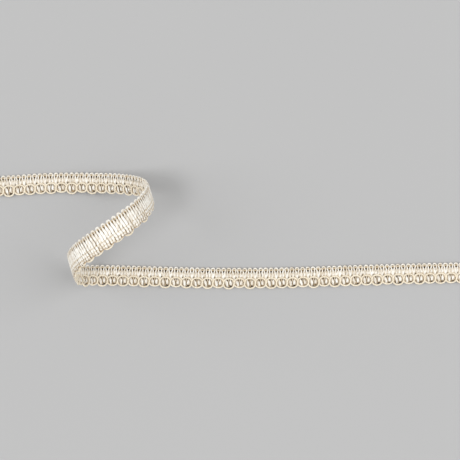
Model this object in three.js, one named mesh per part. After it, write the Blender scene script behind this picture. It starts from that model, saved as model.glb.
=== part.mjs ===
import * as THREE from 'three';
import { mergeVertices } from 'three/addons/utils/BufferGeometryUtils.js';

// Gimp braid trim, 10 mm wide: a picot edge, a satin band and a chain of corded rings.
// One length lies face up, rolls once over itself in an open curl, and lies on again.
// Lengths are in millimetres, +Z is up and the braid's underside lies on Z = 0.

// Make-up of the braid, measured on the flat pattern
const ringPitch = 5;
const ringCount = 78;
const braidLength = ringPitch * ringCount;
const picotsPerRing = 2;
const picotPitch = ringPitch / picotsPerRing;
const halfWidth = 5;
const picotDepth = 0.65;
const picotShoulder = 0.2;
const picotRowAcross = -2.9;
const ringCentreAcross = 2.42;
const ringReach = 2.58;
const junctionHalf = 0.7;
const cordRadius = 0.48;

// Heights above the underside
const picotEdgeHeight = 0.85;
const ribCrestHeight = 1.45;
const ribValleyHeight = 1.1;
const ringEdgeHeight = 0.9;
const cordCrestHeight = 1.7;
const ringFloorHeight = 1.05;
const junctionHeight = 1.2;
const backRibDepth = 0.25;
const backRibFade = 1.2;

// Small hand-made unevenness of the rings and picots
const ringAlternate = 0.14;
const ringUneven = 0.08;
const ringWave = 2.3;
const picotUneven = 0.06;
const picotWave = 1.7;

// Where the braid lifts off: distance from its left cut end, place in plan, and the roll's own lie
const liftAlong = 44.1;
const liftPlace = { x: -77.9, y: 22.65 };
const rollTurn = 16.8;
const rollLead = 16.5;
const rollLean = 6.7;
const rollLeadIn = 11;

// Roll of the curl: distance round the roll from its foot, and the bend there in degrees per mm
const curlRows = [
  { at: 0, bend: 0 },
  { at: 28, bend: 1.17 },
  { at: 55, bend: 2.17 },
  { at: 78, bend: 2.6 },
  { at: 100, bend: 3.1 },
  { at: 117, bend: 2.75 },
  { at: 139, bend: -0.34 },
  { at: 161, bend: 5.6 },
  { at: 178, bend: 0 },
];

// Sideways sway of the braid: distance from the left cut end, and the turn there in degrees
const swayRows = [
  { at: 0, turn: -1.5 },
  { at: 29, turn: -4 },
  { at: 44, turn: 0 },
  { at: 184, turn: 0 },
  { at: 204, turn: 1.9 },
  { at: 244, turn: 1.9 },
  { at: 309, turn: -1.8 },
  { at: 374, turn: -0.9 },
];

const rollLength = curlRows[curlRows.length - 1].at;
const fullTurn = 360;
const courseStep = 0.5;
const radians = THREE.MathUtils.degToRad;

// Straight-line reading of one column of a table
function readRows(rows, column, place) {
  if (place <= rows[0].at) return rows[0][column];
  const next = rows.findIndex((row) => row.at >= place);
  if (next < 0) return rows[rows.length - 1][column];
  const share = (place - rows[next - 1].at) / (rows[next].at - rows[next - 1].at);
  return THREE.MathUtils.lerp(rows[next - 1][column], rows[next][column], share);
}

// Reading between the evenly spaced steps of a summed path, straight on past both of its ends
function readSteps(steps, key, place) {
  const exact = place / courseStep;
  const first = THREE.MathUtils.clamp(Math.floor(exact), 0, steps.length - 2);
  return steps[first][key] + (steps[first + 1][key] - steps[first][key]) * (exact - first);
}

// Section through the roll: one full turn, closing again at the height of the surface
function sumCurl() {
  const stepCount = rollLength / courseStep;
  const bendAt = (i) => readRows(curlRows, 'bend', i * courseStep);
  let total = 0;
  for (let i = 0; i < stepCount; i++) total += ((bendAt(i) + bendAt(i + 1)) / 2) * courseStep;
  const steps = [{ angle: 0, run: 0, rise: 0 }];
  for (let i = 0; i < stepCount; i++) {
    const last = steps[i];
    const turn = radians((((bendAt(i) + bendAt(i + 1)) / 2) * courseStep * fullTurn) / total);
    const middle = last.angle + turn / 2;
    steps.push({
      angle: last.angle + turn,
      run: last.run + Math.cos(middle) * courseStep,
      rise: last.rise + Math.sin(middle) * courseStep,
    });
  }
  const drift = steps[stepCount].rise / stepCount;
  steps.forEach((step, i) => (step.rise -= drift * i));
  return steps;
}

// Middle line of the flat pattern: round the roll, and along the roll's axis
function sumPattern() {
  const steps = [{ round: 0, aside: 0 }];
  for (let i = 0; i < braidLength / courseStep; i++) {
    const heading = radians(rollLead + readRows(swayRows, 'turn', (i + 0.5) * courseStep));
    steps.push({
      round: steps[i].round + Math.cos(heading) * courseStep,
      aside: steps[i].aside + Math.sin(heading) * courseStep,
    });
  }
  return steps;
}

const curlSteps = sumCurl();
const patternSteps = sumPattern();
const liftRound = readSteps(patternSteps, 'round', liftAlong);
const liftAside = readSteps(patternSteps, 'aside', liftAlong);
const liftRun = readSteps(curlSteps, 'run', rollLeadIn);
const axisTurn = radians(rollTurn);
const leanShare = Math.tan(radians(rollLean));

// Places a point of the flat pattern (along, across towards the rings, height) on the course
function lay(along, across, height) {
  const heading = radians(rollLead + readRows(swayRows, 'turn', along));
  const round = readSteps(patternSteps, 'round', along) - liftRound - across * Math.sin(heading);
  const aside = readSteps(patternSteps, 'aside', along) - liftAside + across * Math.cos(heading);
  const rolled = round + rollLeadIn;
  const onRoll = rolled > 0 && rolled < rollLength;
  const angle = onRoll ? readSteps(curlSteps, 'angle', rolled) : 0;
  const rise = onRoll ? Math.max(0, readSteps(curlSteps, 'rise', rolled)) : 0;
  const run = readSteps(curlSteps, 'run', rolled) - liftRun - height * Math.sin(angle);
  const slid = aside + rise * leanShare;
  return new THREE.Vector3(
    liftPlace.x + run * Math.cos(axisTurn) + slid * Math.sin(axisTurn),
    liftPlace.y + run * Math.sin(axisTurn) - slid * Math.cos(axisTurn),
    rise + height * Math.cos(angle),
  );
}

// The underside is ribbed where it is off the surface, and flat where it lies on it
function backRib(along, across, isValley) {
  if (!isValley) return 0;
  return backRibDepth * THREE.MathUtils.clamp(lay(along, across, 0).z / backRibFade, 0, 1);
}

const positions = [];
const triangle = (a, b, c) => [a, b, c].forEach((corner) => positions.push(...lay(...corner).toArray()));

// Joins two rows of points that run the same way, the upper one nearer the picots
function joinRows(upper, lower, faceUp) {
  let i = 0;
  let j = 0;
  while (i < upper.length - 1 || j < lower.length - 1) {
    const upperNext = i < upper.length - 1 ? upper[i + 1][0] : Infinity;
    const lowerNext = j < lower.length - 1 ? lower[j + 1][0] : Infinity;
    const takesUpper = upperNext <= lowerNext;
    const third = takesUpper ? upper[i + 1] : lower[j + 1];
    if (faceUp) triangle(upper[i], lower[j], third);
    else triangle(upper[i], third, lower[j]);
    if (takesUpper) i++;
    else j++;
  }
}

// Joins two closed loops with as many points each, the outer one first
function joinLoops(outer, inner) {
  outer.forEach((point, i) => {
    const next = (i + 1) % outer.length;
    triangle(point, outer[next], inner[next]);
    triangle(point, inner[next], inner[i]);
  });
}

// Stands a wall between the face's edge and the back's edge
function joinEdge(face, back, isPicotEdge) {
  for (let i = 0; i < face.length - 1; i++) {
    const [p, q, r, s] = [face[i], face[i + 1], back[i + 1], back[i]];
    triangle(p, ...(isPicotEdge ? [q, s] : [s, q]));
    triangle(q, ...(isPicotEdge ? [r, s] : [s, r]));
  }
}

// Scalloped picot edge of one cell, from its left picot over the middle one to the right one
function picotEdge(cell) {
  const start = cell * ringPitch;
  const points = [];
  for (let picot = 0; picot <= picotsPerRing; picot++) {
    const uneven = picotUneven * Math.sin((cell * picotsPerRing + picot) * picotWave);
    const middle = start + picot * picotPitch;
    const peak = -halfWidth + Math.abs(uneven);
    const shoulder = peak + picotShoulder;
    if (picot > 0) points.push([middle - picotPitch / 4, shoulder]);
    points.push([middle, peak]);
    if (picot === picotsPerRing) break;
    points.push([middle + picotPitch / 4, shoulder]);
    points.push([middle + picotPitch / 2, -halfWidth + picotDepth]);
  }
  return points;
}

// Row across which the picot ribs run on, crests under the picots and valleys between them
function ribRow(cell) {
  const points = [];
  for (let half = 0; half <= picotsPerRing * 2; half++) {
    points.push({ along: cell * ringPitch + (half * picotPitch) / 2, isValley: half % 2 === 1 });
  }
  return points;
}

// Loop round one ring's centre at a given reach, its two sides cut off where rings meet
const footAngles = [196, 233, 270, 307, 344];
const topAngles = [16, 53, 90, 127, 164];
function ringLoop(cell, reach, height, meetsNeighbours) {
  const centre = (cell + 0.5) * ringPitch;
  const alternate = cell % 2 ? ringAlternate : -ringAlternate;
  const drop = alternate + ringUneven * Math.sin(cell * ringWave);
  return [...footAngles, ...topAngles].map((degrees, i) => {
    const angle = radians(degrees);
    const isSide = i % footAngles.length === 0 || (i + 1) % footAngles.length === 0;
    if (isSide && meetsNeighbours) {
      const along = centre + (Math.sign(Math.cos(angle)) * ringPitch) / 2;
      const across = ringCentreAcross - Math.sign(Math.sin(angle)) * junctionHalf;
      return [along, across, across > ringCentreAcross ? ringEdgeHeight : junctionHeight];
    }
    const isLower = Math.sin(angle) < 0;
    const across = ringCentreAcross - Math.sin(angle) * (reach + (isLower ? drop : 0));
    return [centre + Math.cos(angle) * reach, across, isLower || !meetsNeighbours ? height : junctionHeight];
  });
}

// One repeat of the braid: two picots, the satin band and one ring, face and back
function addCell(cell) {
  const outer = ringLoop(cell, ringReach, ringEdgeHeight, true);
  const crest = ringLoop(cell, ringReach - cordRadius, cordCrestHeight, false);
  const floor = ringLoop(cell, ringReach - 2 * cordRadius, ringFloorHeight, false);
  const middle = [(cell + 0.5) * ringPitch, ringCentreAcross, ribCrestHeight];
  joinLoops(outer, crest);
  joinLoops(crest, floor);
  floor.forEach((point, i) => triangle(point, floor[(i + 1) % floor.length], middle));

  const edge = picotEdge(cell);
  const edgeFace = edge.map(([along, across]) => [along, across, picotEdgeHeight]);
  const edgeBack = edge.map(([along, across]) => [along, across, 0]);
  const ribs = ribRow(cell);
  const ribFace = ribs.map(({ along, isValley }) => [
    along, picotRowAcross, isValley ? ribValleyHeight : ribCrestHeight,
  ]);
  const ribBack = ribs.map(({ along, isValley }) => [
    along, picotRowAcross, backRib(along, picotRowAcross, isValley),
  ]);
  const ringTop = outer.slice(footAngles.length).reverse();
  const ringFoot = outer.slice(0, footAngles.length);
  const footBack = ringFoot.map(([along, across], i) => [along, across, backRib(along, across, i % 2 === 1)]);
  joinRows(edgeFace, ribFace, true);
  joinRows(ribFace, ringTop, true);
  joinRows(edgeBack, ribBack, false);
  joinRows(ribBack, footBack, false);
  joinEdge(edgeFace, edgeBack, true);
  joinEdge(ringFoot, footBack, false);
  return [edgeFace, ribFace, ringTop, ringFoot, footBack, ribBack, edgeBack];
}

// Plain cut across the braid: the rows' end points, closed by triangles
function addCut(rows, isLeft) {
  const corners = rows.map((row) => (isLeft ? row[0] : row[row.length - 1]));
  const outline = corners.map(([, across, height]) => new THREE.Vector2(across, height));
  THREE.ShapeUtils.triangulateShape(outline, []).forEach(([a, b, c]) => {
    const turn = THREE.ShapeUtils.area([outline[a], outline[b], outline[c]]) > 0;
    if (turn === isLeft) triangle(corners[a], corners[b], corners[c]);
    else triangle(corners[a], corners[c], corners[b]);
  });
}

for (let cell = 0; cell < ringCount; cell++) {
  const rows = addCell(cell);
  if (cell === 0) addCut(rows, true);
  if (cell === ringCount - 1) addCut(rows, false);
}

const soup = new THREE.BufferGeometry();
soup.setAttribute('position', new THREE.Float32BufferAttribute(positions, 3));
const braidGeometry = mergeVertices(soup, 1e-4);
braidGeometry.computeVertexNormals();

const ivoryYarn = new THREE.MeshStandardMaterial({
  color: 0xefe6d2,
  roughness: 0.62,
  metalness: 0,
  flatShading: true,
});

const braid = new THREE.Mesh(braidGeometry, ivoryYarn);
braid.name = 'braid_trim';

const group = new THREE.Group();
group.add(braid);

export default group;
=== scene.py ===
import math

import bpy
import numpy as np
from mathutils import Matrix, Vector


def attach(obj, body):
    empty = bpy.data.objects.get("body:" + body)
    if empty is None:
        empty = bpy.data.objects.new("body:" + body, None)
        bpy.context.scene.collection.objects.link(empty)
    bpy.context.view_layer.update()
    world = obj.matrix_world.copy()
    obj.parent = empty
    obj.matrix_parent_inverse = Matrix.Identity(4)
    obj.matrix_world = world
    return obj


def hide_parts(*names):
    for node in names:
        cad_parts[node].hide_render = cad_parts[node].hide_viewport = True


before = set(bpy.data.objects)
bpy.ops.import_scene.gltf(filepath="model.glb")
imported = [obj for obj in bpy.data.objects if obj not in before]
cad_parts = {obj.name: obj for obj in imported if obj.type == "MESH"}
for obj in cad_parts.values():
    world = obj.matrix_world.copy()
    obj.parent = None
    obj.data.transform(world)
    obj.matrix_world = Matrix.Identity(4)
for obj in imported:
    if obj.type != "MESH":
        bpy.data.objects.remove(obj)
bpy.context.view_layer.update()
print("frame loaded:", sorted(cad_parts))

millimetre = 0.001
nearlyNone = 1e-9       # keeps a yarn that stands straight up from a division by nothing
rng = np.random.default_rng(1871)

# Make-up of the braid in millimetres, shared by all its yarns
braid = {
    "rings": 78,
    "ringPitch": 5.0,
    "ringCentre": 2.42,   # across, from the middle line towards the rings
    "width": 10.0,
    "ringAlternate": 0.19,
    "ringUneven": 0.13,
    "ringWave": 2.3,
    "picotUneven": 0.07,
    "faceHeight": 1.4,
    "clear": 0.01,        # the lowest yarns are pressed flat this far above the floor
    "shadeFace": (0.20, 0.56),    # how far below the face the painted tan shade starts, and where it is full
    "shadeBack": (0.06, 0.38),    # the same, seen from the back
    "shadeEdge": (3.7, 4.4),      # and where it fades out towards the edges
}
# Two picots to each ring
braid["picotPitch"] = braid["ringPitch"] / 2
braid["length"] = braid["rings"] * braid["ringPitch"]

# The cut ends are sealed flat: how far in, and the size of the seal
cutEnd = {
    "inset": 0.25,
    "reach": (-3.9, 4.0),
    "samples": 24,
    "height": 0.62,
    "halfWide": 0.2,
    "halfThick": 0.42,
    "tone": 0.8,
}
# How loosely the yarns lie
yarnPlay = {
    "strayShares": (1, 1, 0.5, 0.35),   # share of a yarn's stray along, across, up and in width
    "leanFrom": 2.4,                    # across, where a leaning yarn keeps its place
    "waveLength": 3.1,
    "wavePhase": 0.7,
    "waveStart": (-3.2, -2.0),          # across, where the wave starts and where it is full
}

# The course it lies in: it lifts, rolls once over itself and lies on again
course = {
    "liftAlong": 44.1,
    "liftX": -77.9,
    "liftY": 22.65,
    "rollTurn": 16.8,     # degrees
    "rollLead": 16.5,
    "rollLean": 6.7,
    "rollLeadIn": 11.0,
    "step": 0.5,
    # distance round the roll, bend there in degrees per millimetre
    "curl": [(0, 0), (28, 1.17), (55, 2.17), (78, 2.6), (100, 3.1), (117, 2.75), (139, -0.34),
             (161, 5.6), (178, 0)],
    # distance from the left cut end, sideways turn there in degrees
    "sway": [(0, -1.5), (29, -4), (44, 0), (184, 0), (204, 1.9), (244, 1.9), (309, -1.8), (374, -0.9)],
}


def readRows(rows, place):
    return np.interp(place, [row[0] for row in rows], [row[1] for row in rows])


def runningSum(values):
    return np.concatenate([[0.0], np.cumsum(values)])


def easeBetween(values, low, high):
    share = np.clip((values - low) / (high - low), 0, 1)
    return share * share * (3 - 2 * share)


def sumCurl():
    step = course["step"]
    at = np.arange(0, course["curl"][-1][0] + step / 2, step)
    bend = readRows(course["curl"], at)
    turn = (bend[1:] + bend[:-1]) / 2
    turn = np.radians(turn * 360 / turn.sum())
    angle = runningSum(turn)
    middle = (angle[1:] + angle[:-1]) / 2
    run = runningSum(np.cos(middle)) * step
    rise = runningSum(np.sin(middle)) * step
    return at, angle, run, rise - rise[-1] * at / at[-1]


def sumPattern():
    step = course["step"]
    at = np.arange(0, braid["length"] + step / 2, step)
    heading = np.radians(course["rollLead"] + readRows(course["sway"], at[:-1] + step / 2))
    return at, runningSum(np.cos(heading)) * step, runningSum(np.sin(heading)) * step


curlAt, curlAngle, curlRun, curlRise = sumCurl()
patternAt, patternRound, patternAside = sumPattern()


def lay(points):
    # flat pattern (along, across, height) in millimetres to the lie of the braid in metres
    along, across, height = points[..., 0], points[..., 1], points[..., 2]
    heading = np.radians(course["rollLead"] + readRows(course["sway"], along))
    past = along - np.clip(along, 0, braid["length"])
    lift = course["liftAlong"]
    onward = np.interp(along, patternAt, patternRound) - np.interp(lift, patternAt, patternRound)
    aside = np.interp(along, patternAt, patternAside) - np.interp(lift, patternAt, patternAside)
    onward = onward + past * np.cos(heading) - across * np.sin(heading)
    aside = aside + past * np.sin(heading) + across * np.cos(heading)
    rolled = onward + course["rollLeadIn"]
    onRoll = np.clip(rolled, 0, curlAt[-1])
    angle = np.interp(onRoll, curlAt, curlAngle)
    rise = np.maximum(0, np.interp(onRoll, curlAt, curlRise))
    run = np.interp(onRoll, curlAt, curlRun) + rolled - onRoll
    run = run - np.interp(course["rollLeadIn"], curlAt, curlRun) - height * np.sin(angle)
    slid = aside + rise * math.tan(math.radians(course["rollLean"]))
    turn = math.radians(course["rollTurn"])
    x = course["liftX"] + run * math.cos(turn) + slid * math.sin(turn)
    y = course["liftY"] + run * math.sin(turn) - slid * math.cos(turn)
    z = rise + height * np.cos(angle)
    return np.stack([x, y, z], -1) * millimetre


def ringDrop(ring):
    ring = np.asarray(ring)
    alternate = np.where(ring % 2 == 1, 1.0, -1.0) * braid["ringAlternate"]
    return alternate + braid["ringUneven"] * np.sin(ring * braid["ringWave"])


def curveThrough(controls, perSpan):
    # smooth paths through rows of control points: (yarns, controls, 3) to (yarns, samples, 3)
    before = 2 * controls[:, :1] - controls[:, 1:2]
    after = 2 * controls[:, -1:] - controls[:, -2:-1]
    ends = np.concatenate([before, controls, after], 1)
    a, b, c, d = ends[:, :-3], ends[:, 1:-2], ends[:, 2:-1], ends[:, 3:]
    slope, bend, twist = c - a, 2 * a - 5 * b + 4 * c - d, 3 * b - a - 3 * c + d
    steps = np.arange(perSpan) / perSpan
    spans = [0.5 * (2 * b + slope * t + bend * t ** 2 + twist * t ** 3) for t in steps]
    woven = np.stack(spans, 2).reshape(len(controls), -1, controls.shape[-1])
    return np.concatenate([woven, controls[:, -1:]], 1)


class YarnWork:
    # gathers yarns as tubes in the flat pattern and lays them as one mesh
    def __init__(self, name):
        self.name = name
        self.points, self.quads, self.quadMap, self.tones, self.caps = [], [], [], [], {}
        self.count = 0

    def addYarns(self, paths, halfWide, halfThick, tones, make):
        # paths (yarns, samples, 3); half sizes are numbers or arrays of (yarns, samples)
        yarns, samples = paths.shape[:2]
        sides = make["sides"]
        tangent = np.gradient(paths, axis=1)
        tangent /= np.linalg.norm(tangent, axis=2, keepdims=True)
        sideways = np.stack([-tangent[..., 1], tangent[..., 0], np.zeros(tangent.shape[:2])], -1)
        sideways /= np.linalg.norm(sideways, axis=2, keepdims=True) + nearlyNone
        upward = np.cross(tangent, sideways)
        reach = np.linalg.norm(np.diff(paths, axis=1), axis=2)
        arc = np.concatenate([np.zeros((yarns, 1)), np.cumsum(reach, 1)], 1)
        turn = np.arange(sides) / sides * 2 * np.pi
        wind = arc[..., None] * 2 * np.pi / make["plyTurn"]
        swell = 1 + make["plyDepth"] * np.cos(make["plies"] * turn + wind)
        wide = np.broadcast_to(halfWide, (yarns, samples))[..., None] * np.cos(turn) * swell
        thick = np.broadcast_to(halfThick, (yarns, samples))[..., None] * np.sin(turn) * swell
        aside, up = sideways[:, :, None], upward[:, :, None]
        ring = paths[:, :, None] + wide[..., None] * aside + thick[..., None] * up
        index = np.arange(yarns * samples * sides).reshape(yarns, samples, sides) + self.count
        after = np.roll(index, -1, 2)
        quads = np.stack([index[:, :-1], after[:, :-1], after[:, 1:], index[:, 1:]], -1).reshape(-1, 4)
        around = np.arange(sides) / sides
        here, ahead = arc[:, :-1], arc[:, 1:]
        mapU = np.stack([here, here, ahead, ahead], -1)[:, :, None].repeat(sides, 2)
        mapV = np.stack([around, around + 1 / sides, around + 1 / sides, around], -1)
        mapV = np.broadcast_to(mapV, mapU.shape)
        self.points.append(ring.reshape(-1, 3))
        self.quads.append(quads)
        self.quadMap.append(np.stack([mapU, mapV], -1).reshape(-1, 4, 2))
        self.tones.append(np.broadcast_to(np.reshape(tones, (-1, 1, 1)), index.shape).ravel())
        ends = np.concatenate([index[:, 0, ::-1], index[:, -1]], 0)
        self.caps.setdefault(sides, []).append(ends)
        self.count += index.size

    def addStrands(self, middles, shape, tones, make, mirror=False, lean=0.0, wave=0.0, opened=None):
        # shape rows run along one strand: aside from the middle, across, height, half width
        shape = np.array(shape, float)
        if mirror:
            shape = np.concatenate([shape[:0:-1] * [-1, 1, 1, 1], shape])
        controls = np.repeat(shape[None], len(middles), 0)
        leant = np.reshape(lean, (-1, 1)) * (shape[:, 1] - yarnPlay["leanFrom"])
        controls[..., 0] += np.reshape(middles, (-1, 1)) + leant
        if opened is not None:
            controls[..., 2] += opened[:, None] * readRows(make["opening"], shape[:, 1])
        stray = make["stray"] * np.array(yarnPlay["strayShares"])
        controls += rng.normal(0, 1, controls.shape) * stray
        paths = curveThrough(controls, make["perSpan"])
        phase = rng.uniform(-yarnPlay["wavePhase"], yarnPlay["wavePhase"], (len(middles), 1))
        swing = np.sin(paths[..., 1] * 2 * np.pi / yarnPlay["waveLength"] + phase)
        paths[..., 0] += wave * swing * easeBetween(paths[..., 1], *yarnPlay["waveStart"])
        paths[..., 0] = np.clip(paths[..., 0], cutEnd["inset"], braid["length"] - cutEnd["inset"])
        self.addYarns(paths[..., :3], paths[..., 3], make["thick"], tones, make)

    def makeObject(self, finish):
        flat = np.concatenate(self.points)
        flat[:, 2] = np.maximum(flat[:, 2], braid["clear"])
        points = lay(flat)
        quads = np.concatenate(self.quads)
        corners = [quads.ravel()]
        totals = [np.full(len(quads), 4)]
        places = [np.concatenate(self.quadMap).reshape(-1, 2)]
        for sides, ends in self.caps.items():
            ends = np.concatenate(ends)
            corners.append(ends.ravel())
            totals.append(np.full(len(ends), sides))
            places.append(np.zeros((ends.size, 2)))
        corners, totals, places = (np.concatenate(rows) for rows in (corners, totals, places))
        mesh = bpy.data.meshes.new(self.name)
        mesh.vertices.add(len(points))
        mesh.vertices.foreach_set("co", points.astype(np.float32).ravel())
        mesh.loops.add(len(corners))
        mesh.loops.foreach_set("vertex_index", corners.astype(np.int32))
        mesh.polygons.add(len(totals))
        mesh.polygons.foreach_set("loop_start", runningSum(totals)[:-1].astype(np.int32))
        mesh.polygons.foreach_set("loop_total", totals.astype(np.int32))
        mesh.update(calc_edges=True)
        mesh.polygons.foreach_set("use_smooth", np.ones(len(totals), bool))
        mesh.uv_layers.new(name="yarnMap").data.foreach_set("uv", places.astype(np.float32).ravel())
        addShade(mesh, "yarnTone", np.concatenate(self.tones))
        # the share of painted tan shade for each point, by how deep it lies in the braid
        addShade(mesh, "paintedGapShade", paintedShadeInBraid(flat))
        piece = placePiece(self.name, mesh, finish)
        print(f"{self.name}: {int((totals - 2).sum())} triangles")
        return piece


def paintedShadeInBraid(flat):
    # painted shade: 0 on the face, the back and both edges, 1 deep between them, where tan shade is
    # painted into the gaps
    fromFace = easeBetween(braid["faceHeight"] - flat[:, 2], *braid["shadeFace"])
    fromBack = easeBetween(flat[:, 2], *braid["shadeBack"])
    atEdge = easeBetween(np.abs(flat[:, 1]), *braid["shadeEdge"])
    return np.minimum(fromFace, fromBack) * (1 - atEdge)


def addShade(mesh, name, values):
    shade = mesh.attributes.new(name, "FLOAT", "POINT")
    shade.data.foreach_set("value", np.asarray(values, np.float32))


def placePiece(name, mesh, finish):
    mesh.materials.append(finish)
    piece = bpy.data.objects.new(name, mesh)
    bpy.context.scene.collection.objects.link(piece)
    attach(piece, "root")
    return piece


class Term:
    # one output socket, so that shader maths reads as plain sums
    def __init__(self, finish, socket):
        self.finish = finish
        self.socket = socket

    def other(self, output):
        return Term(self.finish, self.socket.node.outputs[output])

    def maths(self, operation, first, second):
        return self.finish.add("ShaderNodeMath", {"operation": operation}, {0: first, 1: second})

    def __add__(self, other):
        return self.maths("ADD", self, other)

    def __radd__(self, other):
        return self.maths("ADD", other, self)

    def __sub__(self, other):
        return self.maths("SUBTRACT", self, other)

    def __rsub__(self, other):
        return self.maths("SUBTRACT", other, self)

    def __mul__(self, other):
        return self.maths("MULTIPLY", self, other)

    def __rmul__(self, other):
        return self.maths("MULTIPLY", other, self)


class Finish:
    # a material and the few ways of adding nodes to it
    def __init__(self, name):
        self.material = bpy.data.materials.new(name)
        self.material.use_nodes = True
        self.tree = self.material.node_tree
        self.shader = self.tree.nodes["Principled BSDF"]

    def add(self, nodeType, settings, values, output=0):
        node = self.tree.nodes.new(nodeType)
        for key, value in settings.items():
            setattr(node, key, value)
        for key, value in values.items():
            self.feed(node.inputs[key], value)
        return Term(self, node.outputs[output])

    def feed(self, socket, value):
        if isinstance(value, Term):
            self.tree.links.new(value.socket, socket)
        else:
            socket.default_value = value

    def mix(self, share, first, second):
        return self.add("ShaderNodeMix", {"data_type": "RGBA"}, {0: share, 6: first, 7: second}, 2)

    def clamp(self, value, low, high, toLow=0.0, toHigh=1.0):
        ends = {0: value, 1: low, 2: high, 3: toLow, 4: toHigh}
        return self.add("ShaderNodeMapRange", {"clamp": True}, ends)

    def wave(self, value):
        return self.add("ShaderNodeMath", {"operation": "SINE"}, {0: value})

    def set(self, **values):
        for key, value in values.items():
            self.feed(self.shader.inputs[key.replace("_", " ")], value)


def linear(red, green, blue):
    # screen colour, 0 to 255, to the shader's own scale
    return tuple(((c / 255 + 0.055) / 1.055) ** 2.4 for c in (red, green, blue)) + (1.0,)


# What all the yarn finishes share
fibre = {
    "toneInColour": 0.5,        # what a yarn's tone, filaments and plies count in its colour
    "filamentInColour": 0.9,
    "pliesInColour": 0.13,
    "toneApart": 40.0,          # sets each yarn's filaments apart from the next yarn's
    "gapBreak": (0.35, 0.6, 0.5, 1.3),   # filaments from, to, and the share of painted tan shade they leave
    "roughSpan": (0.2, 0.8),
    "sheenRoughness": 0.4,
    "pliesInRelief": 0.5,
    "filamentInRelief": 0.9,
    "reliefDepth": 0.0001,      # metres
}


def makeYarnFinish(name, look):
    finish = Finish(name)
    place = finish.add("ShaderNodeUVMap", {"uv_map": "yarnMap"}, {})
    along = finish.add("ShaderNodeSeparateXYZ", {}, {0: place})
    around = along.other(1)
    tone = finish.add("ShaderNodeAttribute", {"attribute_name": "yarnTone"}, {}, "Fac")
    paintedShade = finish.add("ShaderNodeAttribute", {"attribute_name": "paintedGapShade"}, {}, "Fac")
    # plies wind round the yarn, and filaments run along each ply
    plies = finish.wave((around * look["plies"] + along * (1 / look["plyTurn"])) * (2 * math.pi))
    slide = finish.add("ShaderNodeCombineXYZ", {}, {
        0: along * look["filamentStretch"],
        1: (around + along * (1 / look["plies"] / look["plyTurn"])) * look["filaments"],
        2: tone * fibre["toneApart"],
    })
    filament = finish.add("ShaderNodeTexNoise", {}, {"Vector": slide, "Scale": 1.0, "Detail": 3.0})
    spot = finish.add("ShaderNodeNewGeometry", {}, {})
    clouds = {"Vector": spot, "Scale": look["cloudScale"], "Detail": 2.0}
    cloud = finish.add("ShaderNodeTexNoise", {}, clouds)
    pale = tone * fibre["toneInColour"] + filament * fibre["filamentInColour"]
    pale = pale + plies * fibre["pliesInColour"] + cloud * look["cloud"]
    pale = finish.clamp(pale, *look["contrast"])
    yarn = finish.mix(pale, linear(*look["deep"]), linear(*look["pale"]))
    broken = finish.clamp(filament, *fibre["gapBreak"])
    # the base colour turns tan deep in the braid: painted shade in the gaps
    finish.set(
        Base_Color=finish.mix(paintedShade * look["shade"] * broken, yarn, linear(*look["gapShadeColour"])),
        Roughness=finish.clamp(filament, *fibre["roughSpan"], look["roughLow"], look["roughHigh"]),
        Sheen_Weight=look["sheen"],
        Sheen_Roughness=fibre["sheenRoughness"],
        Specular_IOR_Level=look["specular"],
    )
    relief = plies * fibre["pliesInRelief"] + filament * fibre["filamentInRelief"]
    bumps = {"Strength": look["relief"], "Distance": fibre["reliefDepth"], "Height": relief}
    finish.set(Normal=finish.add("ShaderNodeBump", {}, bumps))
    return finish.material


# each look's gap colour is painted shade, put on yarns deep in the braid, and its shade value says how
# much of it
satinLook = {
    "deep": (212, 197, 173), "pale": (253, 250, 242), "gapShadeColour": (178, 150, 106), "shade": 0.85,
    "plies": 2.0, "plyTurn": 2.2, "filaments": 24.0, "filamentStretch": 0.5, "cloudScale": 620.0,
    "cloud": 0.8, "contrast": (0.90, 1.44),
    "roughLow": 0.22, "roughHigh": 0.38, "sheen": 0.1, "specular": 0.85, "relief": 0.8,
}
cordLook = {
    "deep": (230, 213, 184), "pale": (251, 242, 222), "gapShadeColour": (184, 146, 96), "shade": 0.95,
    "plies": 3.0, "plyTurn": 1.5, "filaments": 26.0, "filamentStretch": 0.8, "cloudScale": 300.0,
    "cloud": 0.4, "contrast": (0.55, 1.25),
    "roughLow": 0.36, "roughHigh": 0.5, "sheen": 0.2, "specular": 0.55, "relief": 0.8,
}
bindLook = {
    "deep": (192, 168, 128), "pale": (228, 211, 180), "gapShadeColour": (170, 144, 104), "shade": 0.5,
    "plies": 2.0, "plyTurn": 0.9, "filaments": 6.0, "filamentStretch": 1.4, "cloudScale": 300.0,
    "cloud": 0.4, "contrast": (0.55, 1.25),
    "roughLow": 0.5, "roughHigh": 0.65, "sheen": 0.2, "specular": 0.4, "relief": 0.5,
}
satinFinish = makeYarnFinish("satin_yarn", satinLook)
cordFinish = makeYarnFinish("cream_cord", cordLook)
bindFinish = makeYarnFinish("binding_thread", bindLook)
print("finishes made")

picotCount = int(braid["length"] / braid["picotPitch"]) + 1
picotAlong = np.arange(picotCount) * braid["picotPitch"]
picotOverJunction = np.arange(picotCount) % 2 == 0
picotAlong = picotAlong + rng.normal(0, braid["picotUneven"], picotCount)
ringMiddle = (np.arange(braid["rings"]) + 0.5) * braid["ringPitch"]


def ringTones(low, high):
    return rng.uniform(low, high, braid["rings"])


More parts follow.
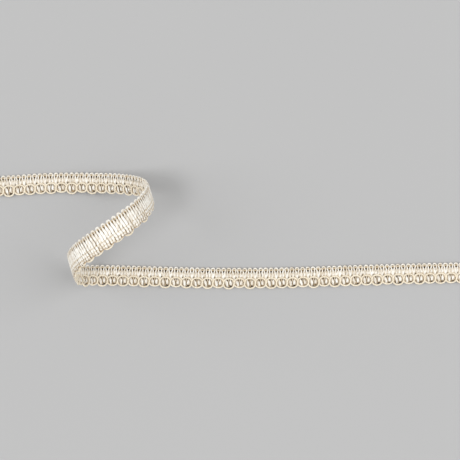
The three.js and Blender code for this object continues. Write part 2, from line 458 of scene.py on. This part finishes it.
# Picot yarns: an arch at the edge and two legs, pinched together below it, that run over the band
picotYarn = {
    "arch": [(0.0, -4.67, 0.80, 0.31), (0.46, -4.53, 0.84, 0.31), (0.82, -4.08, 0.92, 0.32),
             (0.84, -3.50, 1.00, 0.31), (0.68, -2.88, 1.20, 0.31)],
    "overRing": [(0.54, -2.2, 1.18, 0.38), (0.70, -1.5, 1.14, 0.40), (0.76, -0.7, 1.06, 0.37),
                 (0.74, 0.0, 0.82, 0.30), (0.72, 0.55, 0.74, 0.26), (0.70, 0.85, 0.50, 0.20)],
    "overJunction": [(0.46, -2.3, 1.22, 0.40), (0.36, -1.5, 1.28, 0.40), (0.27, -0.7, 1.26, 0.35),
                     (0.18, 0.1, 1.10, 0.28), (0.12, 0.9, 0.70, 0.22)],
    "tone": (0.55, 0.95),
    "brighterAtJunctions": 0.06,
    "make": {
        "sides": 8, "perSpan": 3, "thick": 0.27,
        "plies": 2, "plyDepth": 0.11, "plyTurn": 2.2, "stray": 0.034,
    },
}


def makePicotYarns():
    work = YarnWork("picotYarns")
    make = picotYarn["make"]
    for isJunction, legs in ((True, "overJunction"), (False, "overRing")):
        which = np.where(picotOverJunction == isJunction)[0]
        tones = rng.uniform(*picotYarn["tone"], len(which))
        tones = tones + (picotYarn["brighterAtJunctions"] if isJunction else 0)
        shape = picotYarn["arch"] + picotYarn[legs]
        work.addStrands(picotAlong[which], shape, tones, make, mirror=True)
    return work.makeObject(satinFinish)


# Satin floats: they come up between the picot legs and fill the band above the rings
satinFloat = {
    "middle": [(0.04, -2.36, 0.50, 0.22), (0.0, -1.96, 1.02, 0.34), (-0.06, -1.5, 1.12, 0.40),
               (0.02, -0.7, 1.07, 0.38), (0.0, -0.02, 0.76, 0.28), (0.02, 0.58, 1.04, 0.26),
               (0.02, 1.2, 0.88, 0.26), (0.06, 2.0, 0.80, 0.27), (0.14, 3.1, 0.72, 0.26),
               (0.2, 4.1, 0.50, 0.26)],
    "outerLeft": [(-1.25, -2.85, 0.52, 0.24), (-1.27, -2.25, 1.00, 0.36), (-1.36, -1.5, 1.09, 0.40),
                  (-1.38, -0.7, 1.03, 0.36), (-1.40, 0.05, 0.74, 0.26), (-1.4, 0.8, 0.50, 0.22)],
    "outerRight": [(1.25, -2.85, 0.52, 0.24), (1.27, -2.25, 1.00, 0.36), (1.38, -1.5, 1.09, 0.40),
                   (1.46, -0.7, 1.03, 0.38), (1.50, 0.05, 0.74, 0.28), (1.5, 0.8, 0.50, 0.22)],
    "besideLeft": [(-1.68, -2.5, 0.55, 0.24), (-1.76, -1.9, 1.0, 0.36), (-1.86, -1.35, 1.06, 0.38),
                   (-1.86, -0.9, 0.88, 0.30), (-1.80, -0.5, 0.50, 0.20)],
    "besideRight": [(1.68, -2.5, 0.55, 0.24), (1.76, -1.9, 1.02, 0.36), (1.92, -1.1, 1.09, 0.38),
                    (2.02, -0.3, 1.03, 0.34), (2.04, 0.4, 0.8, 0.28), (1.95, 1.0, 0.5, 0.2)],
    "tone": (-0.2, 0.5),
    "make": {
        "sides": 8, "perSpan": 3, "thick": 0.25,
        "plies": 2, "plyDepth": 0.11, "plyTurn": 2.4, "stray": 0.05,
    },
}


def makeSatinFloats():
    work = YarnWork("satinFloats")
    for name in ("middle", "outerLeft", "outerRight", "besideLeft", "besideRight"):
        tones = ringTones(*satinFloat["tone"])
        work.addStrands(ringMiddle, satinFloat[name], tones, satinFloat["make"])
    return work.makeObject(satinFinish)


# Ring yarns: bright yarns that come up inside each ring in two pairs, and dimmer ones beside them; the
# dim ones get a darker tone, painted shade, and the bright ones a paler tone, painted light
ringYarn = {
    "bright": [(0.0, 1.15, 0.44, 0.20), (0.0, 1.5, 0.92, 0.27), (0.0, 2.0, 1.20, 0.31),
               (0.0, 2.8, 1.26, 0.31), (0.0, 3.45, 1.14, 0.29), (0.0, 3.95, 0.74, 0.25),
               (0.0, 4.25, 0.45, 0.20)],
    "dim": [(0.0, 0.4, 0.55, 0.24), (0.0, 1.5, 0.84, 0.27), (0.0, 2.4, 0.94, 0.29),
            (0.0, 3.3, 0.80, 0.27), (0.0, 3.8, 0.55, 0.24)],
    "brightPlaces": (-1.06, -0.60, 0.64, 1.10),
    "dimPlaces": (-1.60, 1.64),
    # tones: paler for the bright yarns, painted light, and darker for the dim ones, painted shade,
    # each on top of a random spread
    "paintedLightTone": (0.4, 1.3),
    "paintedShadeTone": (-0.2, 0.3),
    "outerFrom": 0.9,         # yarns this far from the ring's middle start earlier, by the next value
    "outerStartEarly": 0.9,
    "rightEndsShort": 0.7,    # and those to its right end this much sooner
    "changesFrom": 2.0,       # across, where both changes start, and how far each takes to be full
    "startSpan": 0.85,
    "endSpan": 2.0,
    "lean": (0.12, 0.05),
    "dimLean": 0.5,
    "make": {
        "sides": 8, "perSpan": 3, "thick": 0.25,
        "plies": 2, "plyDepth": 0.06, "plyTurn": 2.2, "stray": 0.038,
    },
}


def makeRingYarns():
    work = YarnWork("ringYarns")
    lean = rng.normal(*ringYarn["lean"], braid["rings"])
    changesFrom, make = ringYarn["changesFrom"], ringYarn["make"]
    for place in ringYarn["brightPlaces"]:
        shape = np.array(ringYarn["bright"])
        if abs(place) > ringYarn["outerFrom"]:
            towardsStart = np.clip((changesFrom - shape[:, 1]) / ringYarn["startSpan"], 0, 1)
            shape[:, 1] -= ringYarn["outerStartEarly"] * towardsStart
        if place > 0:
            towardsEnd = np.clip((shape[:, 1] - changesFrom) / ringYarn["endSpan"], 0, 1)
            shape[:, 1] -= ringYarn["rightEndsShort"] * towardsEnd
        tones = ringTones(*ringYarn["paintedLightTone"])
        work.addStrands(ringMiddle + place, shape, tones, make, lean=lean)
    for place in ringYarn["dimPlaces"]:
        tones = ringTones(*ringYarn["paintedShadeTone"])
        dimLean = lean * ringYarn["dimLean"]
        work.addStrands(ringMiddle + place, ringYarn["dim"], tones, make, lean=dimLean)
    return work.makeObject(satinFinish)


# Back floats: each picot has a lower arch too, whose two legs cross the whole back
# and are bound down in two rows
backFloat = {
    "shape": [(0.0, -4.46, 0.46, 0.28), (0.40, -4.32, 0.42, 0.29), (0.68, -3.86, 0.36, 0.31),
              (0.66, -3.3, 0.30, 0.34), (0.62, -2.75, 0.27, 0.47), (0.62, -2.1, 0.25, 0.61),
              (0.62, -0.9, 0.24, 0.63), (0.62, 0.4, 0.24, 0.62), (0.62, 0.85, 0.25, 0.61),
              (0.62, 1.25, 0.31, 0.58), (0.62, 1.65, 0.25, 0.61), (0.62, 2.4, 0.26, 0.60),
              (0.61, 2.85, 0.34, 0.56), (0.60, 3.3, 0.29, 0.57)],
    "footOverJunction": (0.56, 3.8, 0.46, 0.52),
    "footOverRing": (0.58, 4.08, 0.44, 0.52),
    "tone": (0.6, 1.4),
    "wave": 0.08,
    "shift": 0.04,
    # the bound-down rows open where the back bends: distance from the left cut end, and share of it
    "open": [(80, 0.0), (96, 1.0), (112, 1.0), (123, 0.0),
             (143, 0.0), (152, 1.0), (196, 1.0), (210, 0.0)],
    "make": {
        "sides": 8, "perSpan": 2, "thick": 0.21,
        "plies": 2, "plyDepth": 0.09, "plyTurn": 2.2, "stray": 0.05,
        # across, and how much deeper the yarns dip there where the rows open
        "opening": [(0.85, 0.0), (1.25, 0.09), (1.65, 0.0), (2.4, 0.0), (2.85, 0.15), (3.3, 0.0)],
    },
}


def makeBackFloats():
    work = YarnWork("backFloats")
    for isJunction, foot in ((True, "footOverJunction"), (False, "footOverRing")):
        middles = picotAlong[picotOverJunction == isJunction]
        middles = middles + rng.normal(0, backFloat["shift"], len(middles))
        tones = rng.uniform(*backFloat["tone"], len(middles))
        shape = backFloat["shape"] + [backFloat[foot]]
        opened = readRows(backFloat["open"], middles)
        make, wave = backFloat["make"], backFloat["wave"]
        work.addStrands(middles, shape, tones, make, mirror=True, wave=wave, opened=opened)
    return work.makeObject(satinFinish)


# Ring cords: two cords that swing against each other and cross between the rings
ringCord = {
    "radius": 0.37,
    "swingUp": 2.40,
    "swingDown": 2.20,
    "square": 0.66,         # below 1 squares the rings
    "straighten": 0.22,     # share of the run taken evenly, so that the cords cross on a slant
    "height": 1.14,
    "crossing": 0.27,       # how far each cord rises or dips where they cross
    "crossingSpan": 0.24,
    "spread": 1.15,         # wider and thinner there
    "flatten": 0.75,
    "lowerDip": 0.26,
    "slack": 0.05,
    "perRing": 24,
    "tones": (0.5, 0.65),
    "make": {"sides": 12, "plies": 3, "plyDepth": 0.05, "plyTurn": 1.9},
}


def makeRingCords():
    work = YarnWork("ringCords")
    rings, pitch = braid["rings"], braid["ringPitch"]
    straight, span = ringCord["straighten"], ringCord["crossingSpan"]
    even = np.arange(ringCord["perRing"]) / ringCord["perRing"]
    bowed = (1 - np.cos(even * np.pi)) / 2
    paths, pressed = [], []
    for cord in range(2):
        rows, presses = [], []
        for ring in range(rings):
            isUpper = (ring + cord) % 2 == 0
            along = (ring + straight * even + (1 - straight) * bowed) * pitch
            slack = rng.normal(0, ringCord["slack"])
            if isUpper:
                reach = -ringCord["swingUp"] - slack
            else:
                reach = ringCord["swingDown"] + ringDrop(ring) + slack
            across = braid["ringCentre"] + reach * np.sin(even * np.pi) ** ringCord["square"]
            start, end = (easeBetween(1 - away / span, 0, 1) for away in (even, 1 - even))
            side = 1 if isUpper else -1
            height = ringCord["height"] + ringCord["crossing"] * side * (start - end)
            height = height - (0 if isUpper else ringCord["lowerDip"]) * np.sin(even * np.pi)
            rows.append(np.stack([along, across, height], -1))
            presses.append(np.maximum(start, end))
        rows.append([[rings * pitch, braid["ringCentre"], ringCord["height"]]])
        paths.append(np.concatenate(rows))
        pressed.append(np.concatenate(presses + [[0.0]]))
    paths, pressed = np.stack(paths), np.stack(pressed)
    paths[..., 0] = np.clip(paths[..., 0], cutEnd["inset"] / 2, braid["length"] - cutEnd["inset"] / 2)
    wide = ringCord["radius"] * (1 + (ringCord["spread"] - 1) * pressed)
    thick = ringCord["radius"] * (1 + (ringCord["flatten"] - 1) * pressed)
    work.addYarns(paths, wide, thick, ringCord["tones"], ringCord["make"])
    return work.makeObject(cordFinish)


# Binding threads: lengthwise threads that hold the yarns together, a thick one through the picots,
# two under the satin band and two on the back
bindThread = {
    # across, height, wave, radius, how much deeper it lies where the back's rows open
    "rows": [(-3.70, 0.70, 0.05, 0.31, 0.0), (-2.2, 0.66, 0.20, 0.14, 0.0),
             (-1.0, 0.62, 0.18, 0.14, 0.0), (1.25, 0.12, 0.01, 0.08, 0.05),
             (2.85, 0.13, 0.01, 0.08, 0.12)],
    "step": 0.42,
    "rowShift": 2.0,      # sets each row's wave apart from the next
    "drift": 0.05,        # and each drifts a little across
    "driftTurn": 1.9,
    "tones": (1.3, 0.4, 0.6, 1.4, 1.1),
    "make": {"sides": 8, "plies": 2, "plyDepth": 0.06, "plyTurn": 1.2},
}


def makeBindThreads():
    work = YarnWork("bindThreads")
    across = np.linspace(*cutEnd["reach"], cutEnd["samples"])
    for along in (cutEnd["inset"], braid["length"] - cutEnd["inset"]):
        level = np.full(len(across), cutEnd["height"])
        seal = np.stack([np.full(len(across), along), across, level], -1)
        tones = (cutEnd["tone"],)
        work.addYarns(seal[None], cutEnd["halfWide"], cutEnd["halfThick"], tones, bindThread["make"])
    along = np.arange(cutEnd["inset"], braid["length"] - cutEnd["inset"], bindThread["step"])
    paths = []
    opened = readRows(backFloat["open"], along)
    for row, (across, height, wave, _, deeper) in enumerate(bindThread["rows"]):
        swing = np.sin(along * 2 * np.pi / braid["picotPitch"] + row * bindThread["rowShift"])
        drift = bindThread["drift"] * np.sin(along * bindThread["driftTurn"] + row)
        lies = height + wave * swing + deeper * opened
        paths.append(np.stack([along, across + drift, lies], -1))
    radius = np.array([row[3] for row in bindThread["rows"]])[:, None]
    work.addYarns(np.stack(paths), radius, radius, bindThread["tones"], bindThread["make"])
    return work.makeObject(bindFinish)


# Ground web: the thin woven strip in the middle of the braid, its lower edge following the rings; its
# tan and brown are painted shade for the shaded inside of the braid and the holes
groundWeb = {
    # rows across the braid and how much painted shade darkens the ground there, from 0 tan to 1 brown
    "rows": [(-3.75, 0.0), (-3.35, 0.1), (-3.2, 1.0), (-2.36, 1.0), (-2.16, 0.3), (-0.8, 0.3),
             (-0.6, 0.95), (0.1, 0.9), (0.45, 0.4), (0.65, 1.0), (1.1, 1.0), (1.4, 0.6),
             (1.6, 0.2), (2.8, 0.2), (3.5, 1.0)],
    "holesAt": -2.8,      # across, the middle of the picot holes, where dark shade is painted, and how far they reach from it
    "holesReach": 0.46,
    "betweenHoles": 0.75, # how much less painted shade the web has between the picot holes
    "backDark": 0.15,     # share of that painted shade on the web's underside, outside the picot holes
    "foot": 4.35,
    "footDip": 1.1,       # the foot draws in this far between the rings
    "footDark": 1.0,
    "footGap": 10,        # on the back painted shade darkens a gap under each ring, shorter the higher this is
    "footTan": 0.35,      # and the rest gets this much painted shade
    "headWave": 0.2,      # and its head runs up into each picot
    "outline": 0.9,       # share of width times length inside the picots and rings
    "low": 0.50,
    "thickness": 0.14,
    "step": 0.625,
}


def makeGroundWeb(finish):
    step = groundWeb["step"]
    along = np.arange(0.0, braid["length"] + step / 2, step)
    inRing = np.abs(np.sin(along / braid["ringPitch"] * np.pi))
    along = np.clip(along, cutEnd["inset"], braid["length"] - cutEnd["inset"])
    foot = groundWeb["foot"] - groundWeb["footDip"] * (1 - inRing)
    columns = [np.full(len(along), across) for across, _ in groundWeb["rows"]] + [foot]
    columns[0] -= groundWeb["headWave"] * np.cos(along * 2 * np.pi / braid["picotPitch"])
    face = np.array([dark for _, dark in groundWeb["rows"]] + [groundWeb["footDark"]])
    rowsAcross = np.array([across for across, _ in groundWeb["rows"]] + [groundWeb["foot"]])
    inHoles = np.abs(rowsAcross - groundWeb["holesAt"]) < groundWeb["holesReach"]
    back = np.where(inHoles, face, face * groundWeb["backDark"])
    across = np.stack(columns, 1)
    flat = np.stack([np.repeat(along[:, None], len(columns), 1), across], -1)
    lower = np.concatenate([flat, np.full(flat.shape[:2] + (1,), groundWeb["low"])], -1)
    upper = lower + [0, 0, groundWeb["thickness"]]
    index = np.arange(across.size).reshape(across.shape)
    top = np.stack([index[:-1, :-1], index[:-1, 1:], index[1:, 1:], index[1:, :-1]], -1).reshape(-1, 4)
    rim = np.concatenate([index[:-1, 0], index[-1, :-1], index[:0:-1, -1], index[0, :0:-1]])
    ahead = np.roll(rim, -1)
    walls = np.stack([rim, ahead, ahead + index.size, rim + index.size], -1)
    faces = np.concatenate([top[:, ::-1] + index.size, top, walls[:, ::-1]])
    points = lay(np.concatenate([lower.reshape(-1, 3), upper.reshape(-1, 3)]))
    mesh = bpy.data.meshes.new("groundWeb")
    mesh.from_pydata(points.tolist(), [], faces.tolist())
    mesh.update()
    places = np.concatenate([flat.reshape(-1, 2)] * 2)
    corners = np.zeros(len(mesh.loops), np.int32)
    mesh.loops.foreach_get("vertex_index", corners)
    webMap = mesh.uv_layers.new(name="yarnMap")
    webMap.data.foreach_set("uv", places[corners].astype(np.float32).ravel())
    between = (1 - np.cos(along * 2 * np.pi / braid["picotPitch"])) / 2
    paler = 1 - between[:, None] * inHoles * groundWeb["betweenHoles"]
    face, back = face * paler, back * paler
    # painted shade on the underside of the foot, darkest in a gap under each ring
    back[:, -1] = np.maximum(inRing ** groundWeb["footGap"], groundWeb["footTan"])
    addShade(mesh, "paintedWebShade", np.concatenate([back.ravel(), face.ravel()]))
    piece = placePiece("groundWeb", mesh, finish)
    print(f"groundWeb: {len(faces) * 2} triangles")
    return piece


# tan and brown are painted shade: tan for the shaded inside of the braid, brown for the deep shade in
# the holes
webLook = {
    "tan": (178, 150, 108), "brown": (26, 18, 10),
    "warp": 16.0, "weft": 11.0, "weaveInColour": 0.1,
    "patchScale": 0.45, "patchContrast": 3.4, "patchCut": 0.9,   # the painted brown shade comes in patches
    "roughness": 0.75, "relief": 0.6, "reliefDepth": 0.00008,
}


def makeWebFinish():
    finish = Finish("ground_web")
    place = finish.add("ShaderNodeUVMap", {"uv_map": "yarnMap"}, {})
    dark = finish.add("ShaderNodeAttribute", {"attribute_name": "paintedWebShade"}, {}, "Fac")
    along = finish.add("ShaderNodeSeparateXYZ", {}, {0: place})
    weave = finish.wave(along.other(1) * webLook["warp"]) * finish.wave(along * webLook["weft"])
    patchwork = {"Vector": place, "Scale": webLook["patchScale"], "Detail": 1.0}
    patches = finish.add("ShaderNodeTexNoise", {}, patchwork)
    patches = patches * webLook["patchContrast"] - webLook["patchCut"]
    brown = finish.clamp(dark * patches + weave * webLook["weaveInColour"], 0.0, 1.0)
    bumps = {"Strength": webLook["relief"], "Distance": webLook["reliefDepth"], "Height": weave}
    bump = finish.add("ShaderNodeBump", {}, bumps)
    finish.set(
        Base_Color=finish.mix(brown, linear(*webLook["tan"]), linear(*webLook["brown"])),
        Roughness=webLook["roughness"],
        Normal=bump,
    )
    return finish.material


picotYarns = makePicotYarns()
satinFloats = makeSatinFloats()
ringYarns = makeRingYarns()
ringCords = makeRingCords()
backFloats = makeBackFloats()
bindThreads = makeBindThreads()
web = makeGroundWeb(makeWebFinish())
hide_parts("braid_trim")
print("braid made")

# Plain pale floor, in metres
floorLook = {
    "size": 14.0, "colour": (181, 181, 181), "roughness": 0.9,
    "grainScale": 40.0, "grainDull": 0.96,
    "below": 0.00005,     # keeps it clear of the braid's underside
}


def makeFloor():
    half = floorLook["size"] / 2
    mesh = bpy.data.meshes.new("floor")
    corners = [(-half, -half, 0), (half, -half, 0), (half, half, 0), (-half, half, 0)]
    mesh.from_pydata(corners, [], [(0, 1, 2, 3)])
    finish = Finish("floor_paint")
    grain = finish.add("ShaderNodeTexNoise", {}, {"Scale": floorLook["grainScale"], "Detail": 3.0})
    pale = linear(*floorLook["colour"])
    dull = tuple(c * floorLook["grainDull"] for c in pale[:3]) + (1.0,)
    finish.set(Base_Color=finish.mix(grain, dull, pale), Roughness=floorLook["roughness"])
    mesh.materials.append(finish.material)
    floor = bpy.data.objects.new("floor", mesh)
    floor.location.z = -floorLook["below"]
    bpy.context.scene.collection.objects.link(floor)


# Soft lights from far away: where each comes from, how wide it is in degrees, and its strength
studio = {
    "key": {"from": (-0.30, -0.24, 0.92), "spread": 18, "strength": 0.72},
    "fill": {"from": (0.74, 0.12, 0.64), "spread": 50, "strength": 1.24},
    "side": {"from": (-0.80, 0.10, 0.58), "spread": 50, "strength": 0.90},
    "sky": 0.55,
    "skyTint": (1.0, 1.0, 1.0, 1.0),
}


def makeLights():
    for name in ("key", "fill", "side"):
        look = studio[name]
        light = bpy.data.lights.new(name, "SUN")
        light.angle = math.radians(look["spread"])
        light.energy = look["strength"]
        lamp = bpy.data.objects.new(name, light)
        lamp.rotation_mode = "QUATERNION"
        lamp.rotation_quaternion = (-Vector(look["from"])).to_track_quat("-Z", "Y")
        bpy.context.scene.collection.objects.link(lamp)
    world = bpy.data.worlds.new("studio")
    world.use_nodes = True
    sky = world.node_tree.nodes["Background"].inputs
    sky["Color"].default_value = studio["skyTint"]
    sky["Strength"].default_value = studio["sky"]
    bpy.context.scene.world = world


# Camera straight above, at the height that the curl's widening towards it gives
view = {
    "x": 0.00015, "y": 0.00041, "height": 0.2736,
    "halfWidth": 0.1091,  # half of what the picture shows of the floor
    "sensor": 36.0,
    "clip": (0.01, 10.0),
}


def makeCamera():
    data = bpy.data.cameras.new("camera")
    data.sensor_width = view["sensor"]
    data.lens = view["sensor"] / 2 * view["height"] / view["halfWidth"]
    data.clip_start, data.clip_end = view["clip"]
    camera = bpy.data.objects.new("camera", data)
    camera.location = (view["x"], view["y"], view["height"])
    bpy.context.scene.collection.objects.link(camera)
    bpy.context.scene.camera = camera


makeFloor()
makeLights()
makeCamera()
bpy.context.scene.view_settings.view_transform = "Standard"
print("stage, lights and camera made")
